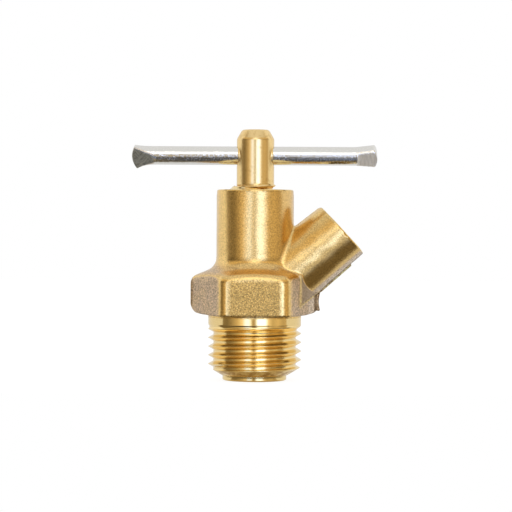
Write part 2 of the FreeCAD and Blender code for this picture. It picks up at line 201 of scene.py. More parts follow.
class SpindleSizes(bpy.types.PropertyGroup):
    """Sizes of the screw spindle"""

    grid: length("Mesh step", "Edge of the cubes that the head is meshed on", 0.12)
    shank_r: length("Shank radius", "Radius of the plain shank", 3.22)
    shank_top: length("Shank top", "Height of the shank's top", 32.05)
    top_r: length("Top radius", "Radius of the flat top", 2.15)
    chamfer_low: length("Chamfer start", "Height where the top chamfer starts", 30.45)
    edge_wide: length("Edge width", "Width of the chamfer's soft edge", 0.2)
    edge_high: length("Edge height", "Height of the chamfer's soft edge", 0.4)
    rim_high: length("Rim height", "Height of the soft rim of the flat top", 0.12)
    hole_z: length("Hole height", "Height of the cross hole", 27.56)
    hole_r: length("Hole radius", "Radius of the cross hole", 1.65)
    burr_x: length("Burr reach", "Distance of the burr's crest from the axis", 3.02)
    burr_wall: length("Burr width", "Width of the burr round the cross hole", 0.3)
    thread_r: length("Major radius", "Major radius of the spindle's thread", 3.5)
    pitch: length("Pitch", "Pitch of the spindle's thread", 1.0)
    depth: length("Depth", "Depth of the spindle's thread", 0.5)
    crest_flat: fraction("Crest flat", "Share of the pitch that the crest takes up", 0.06)
    root_flat: fraction("Root flat", "Share of the pitch that the root takes up", 0.25)
    crest_z: length("Crest height", "Height of a crest on the spout's side", 22.45)
    thread_top: length("Thread top", "Height of the thread's upper end", 22.5)
    thread_low: length("Thread end", "Height of the thread's lower end", 15.2)
    land_r: length("Land radius", "Radius of the sealed land", 2.9)
    land_low: length("Land start", "Height of the land's lower end", 8.9)
    groove_r: length("Groove radius", "Radius at the bottom of the ring's groove", 1.67)
    groove_low: length("Groove start", "Height of the groove's lower wall", 9.4)
    groove_top: length("Groove end", "Height of the groove's upper wall", 10.85)
    neck_r: length("Neck radius", "Radius of the neck in the chamber", 1.9)
    head_r: length("Head radius", "Radius of the valve head", 2.75)
    head_top: length("Head top", "Height of the head's back", 0.4)
    head_low: length("Head edge", "Height where the head's cone starts", -1.13)
    tip_r: length("Tip radius", "Radius of the cone's flat tip", 1.5)
    tip_z: length("Tip", "Height of the cone's tip", -2.38)
    segments: whole("Segments", "Segments round the spindle", 96, 24)
    rows: whole("Rows", "Rows in each turn of the thread", 16, 8)


class BarSizes(bpy.types.PropertyGroup):
    """Sizes of the tommy bar"""

    grid: length("Mesh step", "Edge of the cubes that the bar is meshed on", 0.11)
    bar_r: length("Radius", "Radius of the round bar", 1.6)
    axis_z: length("Axis height", "Height of the bar's axis", 27.56)
    left_x: length("Left end", "Place of the left end", -21.25)
    right_x: length("Right end", "Place of the right end", 20.95)
    flare_x: length("Flare start", "Distance from the spindle where the ends spread", 17.2)
    left_turn: angle("Left turn", "Turn of the left pinch about the bar", 30.5)
    left_wide: length("Left width", "Half width of the left end", 2.6)
    left_thick: length("Left thickness", "Half thickness of the left end", 1.5)
    left_shift: length("Left shift", "Shift of the left end across the bar", -0.58)
    left_facet_x: length("Left facet start", "Where the left facets start", -17.3)
    left_facet_fall: angle("Left facet slope", "Slope of the left facets", 15.95)
    left_round: length("Left end round", "Radius of the left end's outline", 3.6)
    right_turn: angle("Right turn", "Turn of the right pinch about the bar", 40.0)
    right_wide: length("Right width", "Half width of the right end", 2.1)
    right_thick: length("Right thickness", "Half thickness of the right end", 1.68)
    right_shift: length("Right shift", "Shift of the right end across the bar", 0.1)
    right_facet_x: length("Right facet start", "Where the right facets start", 17.45)
    right_facet_run: length("Right ledge", "Run of the ledge down to the right facets", 0.35)
    right_facet_high: length("Right facet height", "Half thickness between the right facets", 1.15)
    right_round: length("Right end round", "Radius of the right end's outline", 3.4)
    edge: length("Edge softness", "Width of the rolled edges of the facets", 0.16)


class Finishes(bpy.types.PropertyGroup):
    """Colours of the metals and the rubber"""

    brass: colour("Forged brass", "Clean forged brass", (0.83, 0.57, 0.22))
    scale: colour("Forging scale", "Grey brown scale on the hexagon's sides", (0.57, 0.42, 0.275))
    # Heat tan of the shoulder, also painted as shade down the barrel's right side
    tan: colour("Heat tan", "Orange brown tan on the shoulder", (0.71, 0.455, 0.175))
    ridge: colour("Pad ridge", "Bare ridge along the trimmed pad", (0.98, 0.74, 0.38))
    # Grey painted on the spout's underside as a reflection of the pale floor
    keel_floor_reflection: colour("Keel", "Grey underside of the spout", (0.68, 0.54, 0.40))
    # Scored pad's colour, darkened as painted shade from the spout above it
    trim_and_shade: colour("Trimmed pad", "Scored pad under the spout", (0.42, 0.315, 0.21))
    dull: colour("Dull brass", "Blasted front of the hexagon", (0.58, 0.36, 0.105))
    # Dark pits and grain, also used for the painted shadow beside the spout's fin
    pit: colour("Pits", "Dark grain and pits of the forging", (0.17, 0.09, 0.02))
    machined: colour("Machined brass", "Bright turned brass", (0.94, 0.705, 0.315))
    # Also the colour of the darker band round the end chamfer
    stain: colour("Cutting stain", "Oily stain in the thread and the chamfer", (0.45, 0.25, 0.05))
    turned: colour("Spindle brass", "Turned brass of the spindle", (0.89, 0.65, 0.30))
    plate: colour("Plating", "Bright plating of the bar", (0.80, 0.785, 0.745))
    pinch: colour("Pinched metal", "Dull metal where the press pinched the left end", (0.3, 0.3, 0.265))
    sheared: colour("Sheared metal", "Pale scored metal of the right end", (0.88, 0.84, 0.74))
    burnt: colour("Burnt edge", "Bronze edge of the left end's facet", (0.4, 0.27, 0.14))
    rubber: colour("Rubber", "Ring round the spindle", (0.02, 0.02, 0.021))
    dust: colour("Dust", "Dusty grain of the rubber", (0.06, 0.06, 0.06))


class StageSettings(bpy.types.PropertyGroup):
    """Camera and floor"""

    distance: length("Camera distance", "From the spindle's axis to the camera", 352.0)
    height: length("Camera height", "Height of the camera over the hexagon's underside", 16.0)
    lens: number("Lens", "Focal length in mm", 143.7)
    shift_x: number("Shift X", "Sideways shift of the picture", 0.0016)
    shift_y: number("Shift Y", "Upright shift of the picture", -0.0645)
    clip_start: length("Clip start", "Nearest distance that the camera shows", 10.0)
    roll: angle("Roll", "Roll of the camera", 0.3)
    floor_front: length("Floor front", "How far the floor reaches in front of the cock", 30.0)
    floor_back: length("Floor back", "How far the floor reaches behind the cock", 600.0)
    floor_half: length("Floor half width", "Half width of the floor", 500.0)


def sizes_of(group):
    """The group's values as plain numbers, with lengths in millimetres."""
    plain = SimpleNamespace()
    for prop in group.bl_rna.properties:
        if prop.type in ("FLOAT", "INT") and not getattr(prop, "is_array", False):
            value = getattr(group, prop.identifier)
            setattr(plain, prop.identifier, value / MM if prop.unit == "LENGTH" else value)
    return plain


def dimmed(level, tint):
    """A tint at a level of brightness, with an alpha of one."""
    return (*[level * t for t in tint], 1.0)


def hues_of(look):
    """The finishes' colours, each with an alpha of one."""
    names = [prop.identifier for prop in look.bl_rna.properties if getattr(prop, "is_array", False)]
    return SimpleNamespace(**{name: dimmed(1.0, getattr(look, name)) for name in names})


def above_trim(x, z, teeth):
    """Height over the pad's jagged lower edge, from arrays or wires; teeth run from -1 to 1 along x."""
    return z - TRIM_Z - (x - TRIM_X) * TRIM_SLOPE - abs(teeth) * TOOTH_DEEP


# Node trees

class Wire:
    """One output of a node. Arithmetic on wires adds Math nodes to their tree."""

    def __init__(self, tree, socket=None):
        self.tree = tree
        self.socket = socket

    def make(self, kind, inputs=None, out=0, stops=None, **settings):
        """Adds a node: its settings, then the values or links of its inputs."""
        node = self.tree.nodes.new(kind)
        for name, value in settings.items():
            setattr(node, name, value)
        if stops:
            ramp = node.color_ramp.elements
            while len(ramp) < len(stops):
                ramp.new(0.5)
            for element, (place, value) in zip(ramp, stops):
                element.position = place
                element.color = value
        for key, value in (inputs or {}).items():
            if isinstance(value, Wire):
                self.tree.links.new(value.socket, node.inputs[key])
            else:
                node.inputs[key].default_value = value
        return Wire(self.tree, node.outputs[out] if len(node.outputs) else None)

    def pick(self, name):
        """Another output of the same node."""
        return Wire(self.tree, self.socket.node.outputs[name])

    def math(self, operation, *values):
        return self.make("ShaderNodeMath", dict(enumerate(values)), operation=operation)

    def __add__(self, other):
        return self.math("ADD", self, other)

    __radd__ = __add__

    def __mul__(self, other):
        return self.math("MULTIPLY", self, other)

    __rmul__ = __mul__

    def __sub__(self, other):
        return self.math("SUBTRACT", self, other)

    def __rsub__(self, other):
        return self.math("SUBTRACT", other, self)

    def __truediv__(self, other):
        return self.math("DIVIDE", self, other)

    def __pow__(self, other):
        return self.math("POWER", self, other)

    def __abs__(self):
        return self.math("ABSOLUTE", self)

    def least(self, other):
        return self.math("MINIMUM", self, other)

    def most(self, other):
        return self.math("MAXIMUM", self, other)

    def rise(self, low, high):
        """0 at low, 1 at high and smooth between; low may be the larger."""
        inputs = {"Value": self, "From Min": low, "From Max": high}
        return self.make("ShaderNodeMapRange", inputs, interpolation_type="SMOOTHSTEP")

    def band(self, low, high, soft):
        """1 between low and high, with soft edges."""
        return self.rise(low - soft, low + soft) * self.rise(high + soft, high - soft)

    def saw(self, period):
        """Climbs from -1 to 1 over each period."""
        return self.math("FRACT", self / period) * 2 - 1

    def tint(self, start, end):
        """Colour from start to end as this wire goes from 0 to 1."""
        inputs = {0: self, 6: start, 7: end}
        return self.make("ShaderNodeMix", inputs, 2, data_type="RGBA", clamp_factor=True)

    def fade(self, hue):
        """A colour times this wire."""
        return self.make("ShaderNodeVectorMath", {0: hue, "Scale": self}, operation="SCALE")

    def noise(self, scale, detail, rough):
        """Noise at a scale per unit of this vector."""
        inputs = {"Vector": self, "Scale": scale, "Detail": detail, "Roughness": rough}
        return self.make("ShaderNodeTexNoise", inputs)

    def spin(self, angle):
        """This vector turned about Y."""
        inputs = {"Vector": self, "Angle": angle}
        return self.make("ShaderNodeVectorRotate", inputs, rotation_type="Y_AXIS")

    def stretch(self, x, y, z):
        """This vector scaled on each axis."""
        return self.make("ShaderNodeVectorMath", {0: self, 1: (x, y, z)}, operation="MULTIPLY")


def fresh_tree(owner):
    """Start of an emptied node tree of a material or a world."""
    owner.use_nodes = True
    owner.node_tree.nodes.clear()
    return Wire(owner.node_tree)


class Metal:
    """A material in the making: its tree, its place in millimetres and its shader."""

    def __init__(self, name, roughness, metallic=1.0):
        self.material = bpy.data.materials.new(name)
        self.start = fresh_tree(self.material)
        place = self.start.make("ShaderNodeTexCoord", out="Object")
        self.mm = place.stretch(1 / MM, 1 / MM, 1 / MM)
        self.x = self.start.make("ShaderNodeSeparateXYZ", {0: self.mm}, "X")
        self.y = self.x.pick("Y")
        self.z = self.x.pick("Z")
        self.r = (self.x * self.x + self.y * self.y) ** 0.5
        inputs = {"Metallic": metallic, "Roughness": roughness}
        self.shader = self.start.make("ShaderNodeBsdfPrincipled", inputs)
        self.start.make("ShaderNodeOutputMaterial", {"Surface": self.shader})

    def stroke(self, lean, height):
        """Distance from a level axis along a stroke that leans down from the front."""
        return abs(self.y * math.cos(lean) + (self.z - height) * math.sin(lean))

    def feed(self, socket, wire):
        """Links a wire to one of the shader's sockets."""
        self.start.tree.links.new(wire.socket, self.shader.socket.node.inputs[socket])

    def bump(self, height, strength, mm):
        """Feeds a height of 0 to 1, worth mm at 1, to the shader's normal."""
        inputs = {"Height": height, "Strength": strength, "Distance": mm * MM}
        self.feed("Normal", self.start.make("ShaderNodeBump", inputs))


# Finishes

def forging_zones(m, s):
    """Masks of the forging's zones, each from 0 to 1."""
    ragged = (m.mm.noise(1.6, 3.0, 0.65) - 0.5) * 1.6
    across, deep = abs(m.x), abs(m.y)
    apothem = s.hex_flats / 2
    side_way = across * math.cos(math.pi / 6) + deep * math.sin(math.pi / 6)
    below = m.x * math.sin(s.spout_lean) - (m.z - s.spout_base_z) * math.cos(s.spout_lean)
    from_axis = (below * below + m.y * m.y) ** 0.5
    off_spout = from_axis.rise(SPOUT_ROOT - 0.06, SPOUT_ROOT + 0.06).most(m.x.rise(3.0, 2.0))
    hexagon = m.z.rise(s.shoulder_z - 0.3, s.shoulder_z - 1.3) * off_spout

    front = (across + ragged * 0.5).rise(PANEL_HALF + 0.3, PANEL_HALF - 0.3)
    front = front * (m.z + ragged * 0.5).rise(PANEL_TOP + 0.4, PANEL_TOP - 0.4)
    panel = front * deep.rise(apothem - 0.3, apothem - 0.1)

    sides = side_way.rise(apothem - 0.2, apothem - 0.06) * hexagon
    sides = sides * (across + ragged * 0.4).rise(SIDE_FROM - 0.4, SIDE_FROM + 0.4)
    sides = sides * (0.35 + (m.z + ragged * 0.6).rise(s.shoulder_z - 0.9, s.shoulder_z - 1.9) * 0.65)
    shoulder = m.z.band(s.shoulder_z - 1.4, s.shoulder_z + 0.3, 0.6) * off_spout
    shoulder = shoulder * m.r.rise(s.barrel_r - 0.23, s.barrel_r + 0.37)
    # Spout's underside, where a grey reflection of the pale floor is painted
    keel_floor_reflection = below.rise(4.2, 5.0) * m.x.rise(8.5, 9.5) * deep.rise(3.6, 2.6)
    sides = sides.most(shoulder * abs(m.x + ragged).rise(5.0, 7.0) * 0.6).most(keel_floor_reflection)

    edge = above_trim(m.x, m.z, m.x.saw(TOOTH))
    # Scored pad above the jagged edge; its dark colour is partly painted shade from the spout above
    trimmed = sides * m.x.rise(TRIM_X + 0.1, TRIM_X + 0.3) * edge.rise(-0.05, 0.05) * off_spout
    ridge = edge.band(-0.22, 0.1, 0.06).most(m.x.band(TRIM_X - 0.25, TRIM_X + 0.1, 0.08))
    ridge = ridge * hexagon * m.x.rise(TRIM_X - 0.35, TRIM_X - 0.2) * m.z.rise(TRIM_Z - 0.55, TRIM_Z - 0.15)

    fin = deep.rise(s.fin_half + 0.1, s.fin_half) * below.rise(s.spout_mouth_r, s.spout_mouth_r + 0.1)
    fin = fin * m.x.rise(10.0, 10.5) * m.z.rise(s.pad_top + 0.2, s.pad_top + 0.5)
    # Painted shadow: a dark line between the spout's underside and its fin
    gap = deep.band(s.fin_half + 0.15, s.fin_half + 1.05, 0.15) * m.x.rise(9.8, 10.3)
    gap = gap * below.rise(s.spout_mouth_r - 0.4, s.spout_mouth_r - 0.2)
    torn = m.x.rise(s.pad_end - 0.52, s.pad_end - 0.37) * m.z.rise(s.pad_top + 0.3, s.pad_top + 0.1)
    torn = torn * deep.rise(s.flash_half + 0.22, s.flash_half + 0.12)
    # Painted shade: an orange brown band down the barrel's right side
    barrel_right_shade = m.x.rise(3.0, 5.2) * m.z.rise(9.0, 12.0) * off_spout
    return SimpleNamespace(panel=panel, sides=sides, shoulder=shoulder, keel_floor_reflection=keel_floor_reflection, trimmed=trimmed,
                           ridge=ridge, fin=fin, gap=gap, torn=torn, barrel_right_shade=barrel_right_shade)


def forged_brass(look, s):
    """Blasted forging: grainy gold, scale on the hexagon's sides and tan on its shoulder."""
    hue = hues_of(look)
    m = Metal("forged_brass", 0.3)
    zone = forging_zones(m, s)
    grain = m.mm.noise(4.4, 5.0, 0.8)
    cloud = m.mm.noise(0.42, 3.0, 0.6)
    tone = (cloud.rise(0.55, 0.8) * 0.4).tint(hue.brass, hue.tan)
    layers = [
        # Painted shade on the barrel's right side
        (zone.barrel_right_shade * 0.6, hue.tan),
        (zone.panel * (0.85 + cloud * 0.5), hue.dull),
        (zone.shoulder * (0.4 + cloud * 0.8), hue.tan),
        (zone.sides * (0.6 + cloud * 0.7), hue.scale),
        # Painted reflection of the pale floor: grey on the spout's underside
        (zone.keel_floor_reflection * 0.85, hue.keel_floor_reflection),
        # Scored pad, darkened with painted shade under the spout
        (zone.trimmed * 0.95, hue.trim_and_shade),
        (zone.ridge, hue.ridge),
        (zone.torn * 0.8, hue.burnt),
        # Painted shadow beside the fin
        (zone.gap * 0.85, hue.pit),
        (zone.fin, hue.ridge),
    ]
    for mask, shade in layers:
        tone = mask.tint(tone, shade)
    face = zone.panel + zone.sides
    scaled = zone.sides * (1 - zone.trimmed.most(zone.ridge) * 0.8)
    fleck = grain.rise(0.36, 0.64) - 0.5
    tone = (1 + fleck * (0.46 + zone.panel * 0.52 + scaled)).fade(tone)
    pits = grain.rise(0.4, 0.26) * (0.3 + face * 0.5)
    m.feed("Base Color", pits.tint(tone, hue.pit))
    m.feed("Roughness", 0.16 + grain * 0.12 + zone.sides * 0.14 + zone.ridge * 0.3 - zone.keel_floor_reflection * 0.1)
    score = m.mm.stretch(1.0, 0.4, 1.4).noise(3.0, 2.0, 0.6) * zone.trimmed
    m.bump(grain * (0.13 + face * 0.5) + score * 0.6, 1.0, 0.1)
    return m.material


def machined_brass(look, t):
    """Cut brass of the thread, the neck and the faced ends, darker and browner in clouds round the end
    chamfer.
    """
    hue = hues_of(look)
    m = Metal("machined_brass", 0.16)
    rings = m.mm.stretch(0.6, 0.6, 9.0).noise(1.0, 3.0, 0.6)
    cloud = m.mm.noise(0.9, 3.0, 0.6)
    # Darker, browner clouds in a band round the end chamfer
    chamfer_band = m.z.band(t.chamfer_z - 0.05, t.chamfer_z + 0.9, 0.2) * cloud.rise(0.35, 0.6)
    thread = m.z.band(t.end_z - 0.25, t.full_z + 0.7, 0.3)
    m.feed("Base Color", (chamfer_band * 0.7 + cloud.rise(0.6, 0.8) * 0.3).tint(hue.machined, hue.stain))
    m.feed("Roughness", 0.07 + rings * 0.06 + chamfer_band * 0.25 + thread * 0.04)
    m.bump(rings, 0.12, 0.004)
    return m.material


def turned_brass(look):
    """Fine turned brass with lathe rings."""
    hue = hues_of(look)
    m = Metal("turned_brass", 0.24)
    rings = m.mm.stretch(0.5, 0.5, 14.0).noise(1.0, 2.0, 0.5)
    cloud = m.mm.noise(0.7, 3.0, 0.6)
    speck = m.mm.noise(3.5, 2.0, 0.6)
    stained = cloud.rise(0.55, 0.75) * 0.4 + speck.rise(0.62, 0.72) * 0.3
    m.feed("Base Color", stained.tint(hue.turned, hue.stain))
    m.feed("Roughness", 0.16 + rings * 0.1 + cloud * 0.06)
    m.bump(rings, 0.2, 0.006)
    return m.material


def plated_steel(look, s):
    """Bright plating that turns dull and scored where the press pinched the ends."""
    hue = hues_of(look)
    m = Metal("plated_steel", 0.14)
    mottle = m.mm.stretch(0.8, 1.3, 1.3).noise(1.7, 3.0, 0.6)
    drawn = m.mm.stretch(0.25, 6.0, 6.0).noise(1.0, 2.0, 0.5)
    facet = (m.x - s.left_facet_x) * math.tan(s.left_facet_fall) + s.bar_r
    left_proud = m.stroke(s.left_turn, s.axis_z) - facet
    left_end = m.x.rise(s.left_facet_x, s.left_facet_x - 0.4)
    left = left_proud.rise(-0.1, -0.04) * left_end
    burnt = left_proud.band(-0.2, -0.08, 0.04) * left_end
    right = m.stroke(s.right_turn, s.axis_z).rise(s.right_facet_high - 0.08, s.right_facet_high - 0.02)
    right = right * m.x.rise(s.right_facet_x - 0.05, s.right_facet_x + 0.15)
    rise = m.mm.spin(0.8).stretch(4.5, 1.0, 0.8).noise(1.0, 2.0, 0.6)
    fall = m.mm.spin(-0.9).stretch(4.5, 1.0, 0.8).noise(1.0, 2.0, 0.6)
    crossed = rise.most(fall)
    combed = m.mm.stretch(4.5, 0.6, 0.5).noise(1.0, 2.0, 0.6)
    specks = m.mm.noise(4.6, 2.0, 0.6).rise(0.54, 0.66) * (1 - left.most(right))
    pressed = crossed.rise(0.42, 0.68).tint(hue.pinch, dimmed(1.9, look.pinch))
    sheared = combed.rise(0.35, 0.65).tint(dimmed(0.84, look.sheared), hue.sheared)
    tone = left.tint(hue.plate, pressed)
    tone = (burnt * 0.7).tint(tone, hue.burnt)
    m.feed("Base Color", right.tint(tone, sheared))
    m.feed("Metallic", 1 - right * 0.75)
    m.feed("Roughness", 0.08 + mottle * 0.1 + specks * 0.17 + left * 0.5 + right * 0.3)
    marks = crossed * left * 1.5 + combed * right * 1.2
    m.bump(mottle * (1 - left) + drawn * 0.2 + specks * 0.3 + marks, 0.5, 0.03)
    return m.material


def black_rubber(look):
    """Moulded rubber with a dusty grain."""
    hue = hues_of(look)
    m = Metal("black_rubber", 0.6, 0.0)
    grain = m.mm.noise(7.0, 2.0, 0.6)
    m.feed("Base Color", (grain * 0.6).tint(hue.rubber, hue.dust))
    m.feed("Roughness", 0.5 + grain * 0.25)
    m.bump(grain, 0.3, 0.01)
    return m.material


# Shapes as distances, all in millimetres

def smooth_min(a, b, blend):
    """Union of two distances with a hollow blend."""
    h = np.clip(0.5 + 0.5 * (b - a) / blend, 0, 1)
    return b + (a - b) * h - blend * h * (1 - h)


def smooth_max(a, b, blend):
    """Overlap of two distances with a rounded edge."""
    return -smooth_min(-a, -b, blend)


def slope_field(across, z, at, fall):
    """Distance to a line that passes through at and falls outwards by an angle."""
    return (across - at[0]) * math.sin(fall) + (z - at[1]) * math.cos(fall)


def hexagon_field(x, y, apothem):
    """Distance to a hexagon with corners at plus and minus x."""
    kx, ky, side = -math.sqrt(3) / 2, 0.5, apothem / math.sqrt(3)
    x, y = np.abs(x), np.abs(y)
    fold = 2 * np.minimum(kx * x + ky * y, 0)
    x, y = x - fold * kx, y - fold * ky
    x, y = x - np.clip(x, -side, side), y - apothem
    return np.hypot(x, y) * np.sign(y)


def wave_field(x, y, z, count=14, seed=5):
    """Slow random waves between about plus and minus one."""
    draw = np.random.default_rng(seed)
    total = np.zeros_like(x)
    for _ in range(count):
        heading = draw.normal(size=3)
        heading *= TURN / draw.uniform(2.2, 6.5) / np.linalg.norm(heading)
        total += np.sin(heading[0] * x + heading[1] * y + heading[2] * z + draw.uniform(0, TURN))
    return total / math.sqrt(count)


class BodyForm:
    """The forging above the thread as a distance field."""

    # Rounding of its edges: the barrel's top and the mouth, the underside, the flash, the lip and the bores
    EDGE = 0.3
    HEX_EDGE = 0.14
    UNDER_EDGE = 0.2
    FLASH_EDGE = 0.4
    LIP_EDGE = 0.05
    BORE_EDGE = 0.12
    # Hollows where its parts meet
    STEM_BLEND = 0.25
    PAD_BLEND = 0.12
    PROUD_BLEND = 0.15
    LIP_BLEND = 0.1
    # Slopes of the underside from the flat outwards, in degrees
    UNDER_SLOPES = (8, 16, 52)
    # Where the hexagon's worn corners turn into its sharper ones
    WORN_X = 7.0
    WORN_RUN = 2.0
    # How far the flash stops short of the barrel's top and of the mouth
    FLASH_SHORT = 0.8
    # Hollow of the torn flash at the right corner: its height, its curve and its share as a distance
    BITE_Z = 2.5
    BITE_CURVE = 0.1
    BITE_SHARE = 0.94
    # Share of the jagged edge's height that serves as a distance, and the pad's thinner ends
    TRIM_SHARE = 0.76
    PAD_THIN = 0.15
    PAD_THIN_Y = 4.5
    # Cone between the chamber and the bore, and how far the chamber, the lip and the neck reach in
    BORE_CONE = 0.6
    CHAMBER_LAP = 1.0
    LIP_LAP = 0.5
    NECK_LAP = 1.0
    # Knocks on the rim of the mouth: place and radius
    DENTS = [((15.7, -5.6, 14.25), 0.5), ((16.35, -5.5, 13.5), 0.4), ((14.6, -5.75, 15.5), 0.35)]
    DENT_EDGE = 0.2

    def __init__(self, sizes, neck_r):
        self.s = sizes
        self.neck_r = neck_r
        self.out = (math.cos(sizes.spout_lean), math.sin(sizes.spout_lean))
        self.mouth = (
            sizes.spout_length * self.out[0],
            sizes.spout_base_z + sizes.spout_length * self.out[1],
        )

    def spout_axes(self, x, z):
        """Distance along the spout's axis and below it."""
        z = z - self.s.spout_base_z
        return x * self.out[0] + z * self.out[1], x * self.out[1] - z * self.out[0]

    def spout_radius(self, along):
        """Outer radius of the tapered spout."""
        return self.s.spout_mouth_r + (self.s.spout_length - along) * math.tan(self.s.spout_taper)

    def mouth_plane(self, x, z):
        """Distance past the mouth's face."""
        lean = self.s.mouth_lean
        return (x - self.mouth[0]) * math.cos(lean) + (z - self.mouth[1]) * math.sin(lean)

    def envelope(self, x, r, z):
        """Under the coned shoulder, and over the sloped underside."""
        s = self.s
        top = slope_field(r, z, (s.barrel_r, s.shoulder_z), s.shoulder_fall)
        at_x, at_z = s.hex_flats / 2 - s.under_inset, s.under_z
        under = at_z - z
        for degrees in self.UNDER_SLOPES:
            rise = math.radians(degrees)
            slope = (x - at_x) * math.sin(rise) - (z - at_z) * math.cos(rise)
            under = smooth_max(under, slope, self.UNDER_EDGE)
            at_x, at_z = at_x + s.under_step, at_z + s.under_step * math.tan(rise)
        return top, under

    def waterway(self, x, y, z, r):
        """The chamber, the spindle's bore and the outlet."""
        s = self.s
        bore = np.maximum(r - s.spindle_bore_r, s.chamber_top - z + (r - s.chamber_r) * self.BORE_CONE)
        chamber = np.maximum(r - s.chamber_r, z - s.chamber_top - self.CHAMBER_LAP)
        along, below = self.spout_axes(x, z)
        ring = np.hypot(below, y)
        outlet = np.maximum(ring - s.outlet_r, s.spout_length - s.outlet_deep - along)
        pilot = np.maximum(ring - s.pilot_r, -along)
        return np.minimum(np.minimum(bore, chamber), np.minimum(outlet, pilot))

    def flash(self, x, y, z, top, under):
        """Trimmed flash along the parting plane, and the fin under the spout."""
        s = self.s
        corner_r = s.hex_flats / math.sqrt(3)
        plane = np.abs(y)
        outline = smooth_max(np.maximum(-x - corner_r - s.flash_proud, x), top, s.rim_blend)
        left = np.maximum(plane - s.flash_half, smooth_max(outline, under, self.FLASH_EDGE))
        bite = s.pad_bite - self.BITE_CURVE * (z - self.BITE_Z) ** 2
        right = np.maximum.reduce([
            plane - s.flash_half,
            (x - s.pad_end + bite) * self.BITE_SHARE,
            s.pad_foot - z,
            z - s.pad_top,
            s.barrel_r - x,
        ])
        sides = np.maximum.reduce([
            plane - s.flash_half,
            np.abs(x) - s.barrel_r - s.flash_proud,
            s.shoulder_z - z,
            z - s.barrel_top + self.FLASH_SHORT,
        ])
        along, below = self.spout_axes(x, z)
        skin_r = self.spout_radius(along)
        upper = np.maximum.reduce([
            plane - s.flash_half,
            -below - skin_r - s.flash_proud,
            below,
            s.spout_length / 2 - along,
            along - s.spout_length + self.FLASH_SHORT,
        ])
        fin = np.maximum.reduce([
            plane - s.fin_half,
            below - skin_r - s.fin_proud,
            -below,
            s.fin_start - along,
            along - s.spout_length + s.fin_from_mouth,
        ])
        return np.minimum.reduce([left, right, sides, upper, fin])

    def pad(self, x, y, z, top):
        """Raised pad under the spout, trimmed to a jagged line."""
        s = self.s
        deep = np.abs(y)
        across = x * math.cos(s.pad_turn) + deep * math.sin(s.pad_turn)
        thin = self.PAD_THIN * np.clip((deep - self.PAD_THIN_Y) / (s.pad_half - self.PAD_THIN_Y), 0, 1)
        teeth = 2 * ((x / TOOTH) % 1) - 1
        return np.maximum.reduce([
            across + thin - s.pad_reach,
            top,
            -above_trim(x, z, teeth) * self.TRIM_SHARE,
            deep - s.pad_half,
            s.barrel_r - x,
            x - s.pad_end,
        ])

    def lip(self, r, x, z):
        """Lip staked up round the spindle, high at the left and gone at the right."""
        s = self.s
        steep = math.atan2(s.lip_high, s.lip_r - s.lip_crest_r)
        cone = slope_field(r, z, (s.lip_r, s.barrel_top), steep)
        fade = math.atan2(s.lip_high, s.lip_fade_x + s.lip_crest_r)
        roof = slope_field(x, z, (s.lip_fade_x, s.barrel_top), fade)
        return smooth_max(np.maximum(cone, roof), s.barrel_top - self.LIP_LAP - z, self.LIP_BLEND)

    def __call__(self, x, y, z):
        s = self.s
        r = np.hypot(x, y)
        wide = np.abs(x)
        top, under = self.envelope(wide, r, z)
        sharp = np.clip((wide - self.WORN_X) / self.WORN_RUN, 0, 1)
        corner = s.front_round + (s.hex_round - s.front_round) * sharp
        flats = hexagon_field(x, y, s.hex_flats / 2 - corner) - corner
        block = smooth_max(smooth_max(flats, top, s.rim_blend), under, self.HEX_EDGE)
        barrel = smooth_max(r - s.barrel_r, z - s.barrel_top, self.EDGE)
        along, below = self.spout_axes(x, z)
        side = (np.hypot(below, y) - self.spout_radius(along)) * math.cos(s.spout_taper)
        spout = smooth_max(np.maximum(side, -along), self.mouth_plane(x, z), self.EDGE)
        stem = smooth_min(barrel, spout, s.seam_blend)
        solid = smooth_min(smooth_min(block, barrel, s.foot_blend), stem, self.STEM_BLEND)
        solid = solid + s.wave * wave_field(x, y, z)
        solid = smooth_min(solid, self.pad(x, y, z, top), self.PAD_BLEND)
        solid = smooth_min(solid, self.flash(x, y, z, top, under), self.PROUD_BLEND)
        solid = smooth_min(solid, self.lip(r, x, z), self.PROUD_BLEND)
        solid = smooth_max(solid, z - s.barrel_top - s.lip_high, self.LIP_EDGE)
        for place, size in self.DENTS:
            dent = np.sqrt((x - place[0]) ** 2 + (y - place[1]) ** 2 + (z - place[2]) ** 2) - size
            solid = smooth_max(solid, -dent, self.DENT_EDGE)
        neck = np.maximum(r - self.neck_r, z - self.NECK_LAP)
        solid = smooth_min(solid, neck, self.PROUD_BLEND)
        return smooth_max(solid, -self.waterway(x, y, z, r), self.BORE_EDGE)


class SpindleHead:
    """The spindle's plain shank with its cross hole as a distance field."""

    EDGE = 0.12
    BURR_BLEND = 0.1
    HOLE_EDGE = 0.08

    def __init__(self, sizes):
        self.s = sizes

    def __call__(self, x, y, z):
        s = self.s
        r = np.hypot(x, y)
        corners = [
            (s.shank_r, s.chamfer_low),
            (s.shank_r - s.edge_wide, s.chamfer_low + s.edge_high),
            (s.top_r + s.edge_wide, s.shank_top - s.rim_high),
            (s.top_r, s.shank_top),
        ]
        solid = smooth_max(r - s.shank_r, z - s.shank_top, self.EDGE)
        for low, high in zip(corners, corners[1:]):
            fall = math.atan2(high[1] - low[1], low[0] - high[0])
            solid = smooth_max(solid, slope_field(r, z, low, fall), self.EDGE)
        hole = np.hypot(y, z - s.hole_z) - s.hole_r
        burr = np.maximum(np.abs(x) - s.burr_x, hole - s.burr_wall)
        solid = smooth_min(solid, burr, self.BURR_BLEND)
        return smooth_max(solid, -hole, self.HOLE_EDGE)


